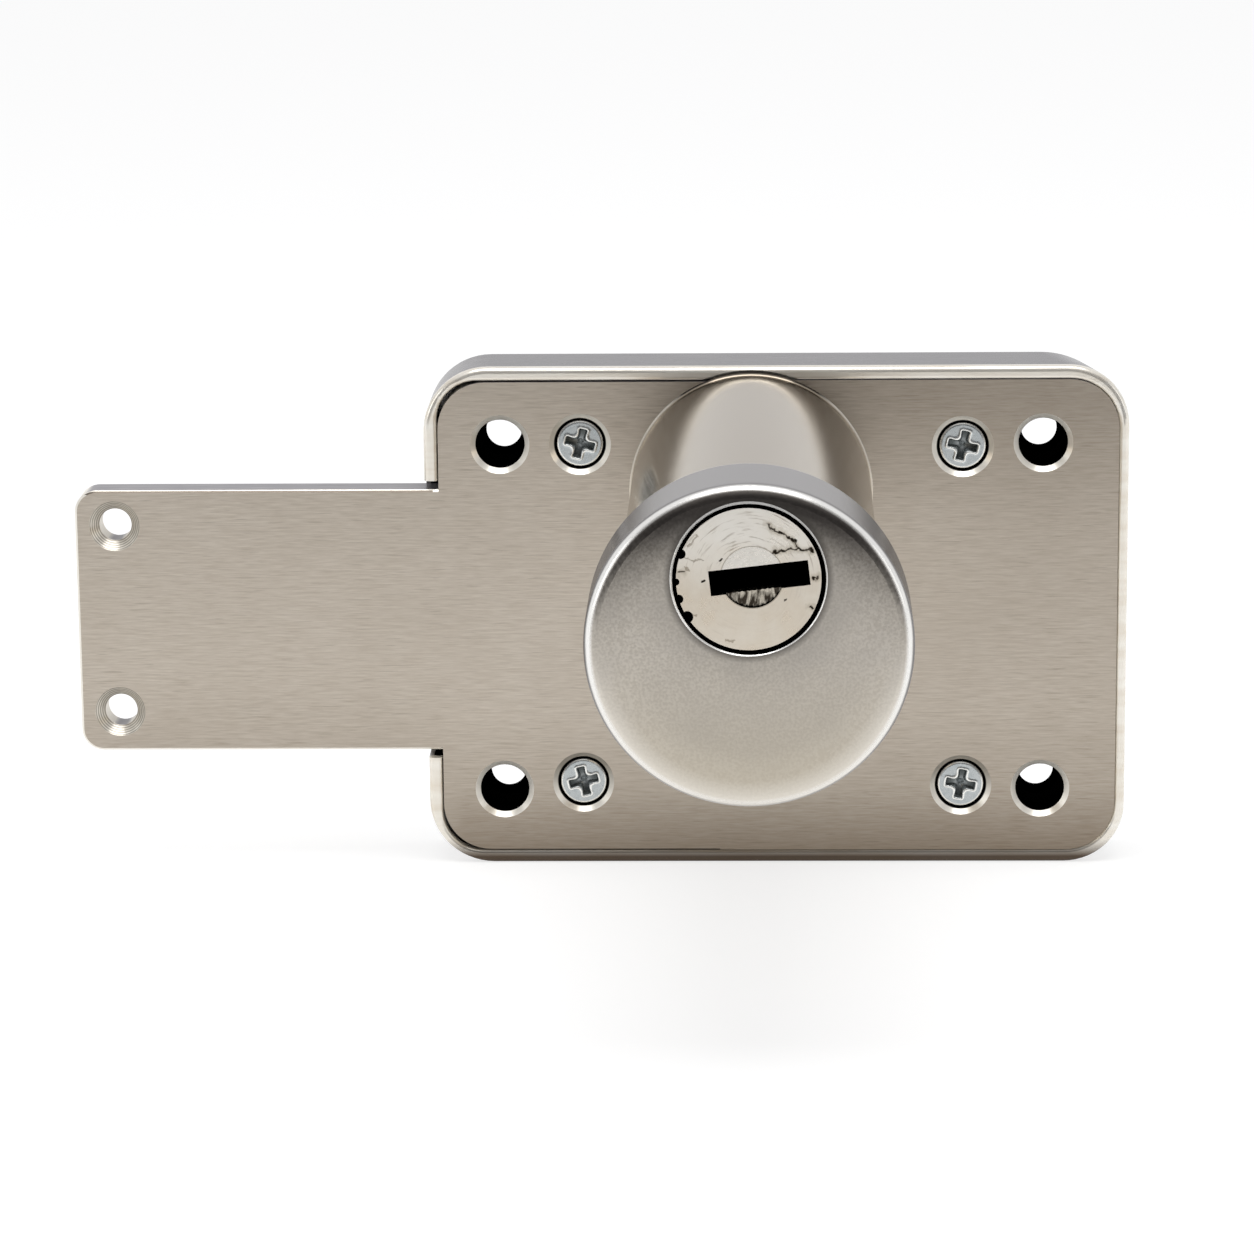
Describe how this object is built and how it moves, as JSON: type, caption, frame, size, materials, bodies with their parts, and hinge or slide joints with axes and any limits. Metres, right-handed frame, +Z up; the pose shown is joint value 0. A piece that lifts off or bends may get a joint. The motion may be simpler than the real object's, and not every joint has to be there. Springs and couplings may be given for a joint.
{
  "type": "three-turn door lock",
  "caption": "Surface door lock with a shallow case, a front plate with a drilled tongue, a long round key barrel and a geared bolt that key turns throw out of the case.",
  "frame": {"origin": "centre of the case's flat back face", "axes": "+X to the right as seen from the key side, along the bolt's throw and away from the tongue; +Y out of the case's back, away from the key; +Z up"},
  "size_m": [0.12, 0.088, 0.0598],
  "materials": {
    "brushed_plate": "brushed along the tongue, matt nickel",
    "case_steel": "matt nickel with bright rounded rim",
    "polished_nickel": "mirror polished",
    "satin_nickel": "satin with bright rounded edge",
    "plug_nickel": "worn turned face",
    "zinc_screw": "blue zinc plated",
    "dark_steel": "blackened",
    "brass": "turned",
    "spring_steel": "drawn wire",
    "tool_steel": "milled, lightly oiled",
    "bolt_steel": "ground, nickel plated"
  },
  "bodies": {
    "lock_body": {"case_shell": "case_steel", "front_plate": "brushed_plate", "cover_screws": "zinc_screw", "mounting_sleeves": "dark_steel", "barrel_housing": "polished_nickel", "barrel_screws": "zinc_screw", "barrel_head": "satin_nickel", "chamber_plugs": "brass", "plug_retainer_screw": "dark_steel", "gear_axle": "tool_steel", "bolt_guide_pins": "tool_steel", "pin_spring_1": "spring_steel", "pin_spring_2": "spring_steel", "pin_spring_3": "spring_steel", "pin_spring_4": "spring_steel", "pin_spring_5": "spring_steel"},
    "cylinder_plug": {"plug": "plug_nickel", "plug_face_insert": "plug_nickel", "tail_bar": "tool_steel", "drive_pinion": "tool_steel"},
    "reduction_gear": {"reduction_gear": "tool_steel"},
    "bolt": {"bolt": "bolt_steel"},
    "driver_pin_1": {"driver_pin_1": "brass"},
    "key_pin_1": {"key_pin_1": "brass"},
    "driver_pin_2": {"driver_pin_2": "brass"},
    "key_pin_2": {"key_pin_2": "brass"},
    "driver_pin_3": {"driver_pin_3": "brass"},
    "key_pin_3": {"key_pin_3": "brass"},
    "driver_pin_4": {"driver_pin_4": "brass"},
    "key_pin_4": {"key_pin_4": "brass"},
    "driver_pin_5": {"driver_pin_5": "brass"},
    "key_pin_5": {"key_pin_5": "brass"}
  },
  "joints": [
    {"name": "key_turn", "type": "hinge", "parent": "lock_body", "child": "cylinder_plug", "pos_m": [-0.0028, -0.088, 0.0215], "axis": [0, 1, 0], "range_deg": [0, 1080]},
    {"name": "gear_turn", "type": "hinge", "parent": "lock_body", "child": "reduction_gear", "pos_m": [-0.0028, -0.005, 0.0071], "axis": [0, 1, 0], "range_deg": [-360.5, 0.5]},
    {"name": "bolt_throw", "type": "slide", "parent": "lock_body", "child": "bolt", "axis": [1, 0, 0], "range_m": [0, 0.02513]},
    {"name": "pin_lift_1", "type": "slide", "parent": "lock_body", "child": "driver_pin_1", "axis": [0, 0, 1], "range_m": [-0.0006, 0.0012], "stiffness_N_per_m": 120, "deforming": ["pin_spring_1"]},
    {"name": "key_pin_lift_1", "type": "slide", "parent": "cylinder_plug", "child": "key_pin_1", "axis": [0, 0, 1], "range_m": [-0.00062, 0.00122]},
    {"name": "pin_lift_2", "type": "slide", "parent": "lock_body", "child": "driver_pin_2", "axis": [0, 0, 1], "range_m": [-0.0006, 0.0012], "stiffness_N_per_m": 120, "deforming": ["pin_spring_2"]},
    {"name": "key_pin_lift_2", "type": "slide", "parent": "cylinder_plug", "child": "key_pin_2", "axis": [0, 0, 1], "range_m": [-0.00062, 0.00122]},
    {"name": "pin_lift_3", "type": "slide", "parent": "lock_body", "child": "driver_pin_3", "axis": [0, 0, 1], "range_m": [-0.0006, 0.0012], "stiffness_N_per_m": 120, "deforming": ["pin_spring_3"]},
    {"name": "key_pin_lift_3", "type": "slide", "parent": "cylinder_plug", "child": "key_pin_3", "axis": [0, 0, 1], "range_m": [-0.00062, 0.00122]},
    {"name": "pin_lift_4", "type": "slide", "parent": "lock_body", "child": "driver_pin_4", "axis": [0, 0, 1], "range_m": [-0.0006, 0.0012], "stiffness_N_per_m": 120, "deforming": ["pin_spring_4"]},
    {"name": "key_pin_lift_4", "type": "slide", "parent": "cylinder_plug", "child": "key_pin_4", "axis": [0, 0, 1], "range_m": [-0.00062, 0.00122]},
    {"name": "pin_lift_5", "type": "slide", "parent": "lock_body", "child": "driver_pin_5", "axis": [0, 0, 1], "range_m": [-0.0006, 0.0012], "stiffness_N_per_m": 120, "deforming": ["pin_spring_5"]},
    {"name": "key_pin_lift_5", "type": "slide", "parent": "cylinder_plug", "child": "key_pin_5", "axis": [0, 0, 1], "range_m": [-0.00062, 0.00122]}
  ],
  "couplings": [
    {"joint": "gear_turn", "follows": "bolt_throw", "rad_per_m": -250},
    {"joint": "key_turn", "follows": "bolt_throw", "rad_per_m": 750},
    {"joint": "key_pin_lift_1", "follows": "pin_lift_1", "ratio": 1},
    {"joint": "key_pin_lift_2", "follows": "pin_lift_2", "ratio": 1},
    {"joint": "key_pin_lift_3", "follows": "pin_lift_3", "ratio": 1},
    {"joint": "key_pin_lift_4", "follows": "pin_lift_4", "ratio": 1},
    {"joint": "key_pin_lift_5", "follows": "pin_lift_5", "ratio": 1}
  ]
}
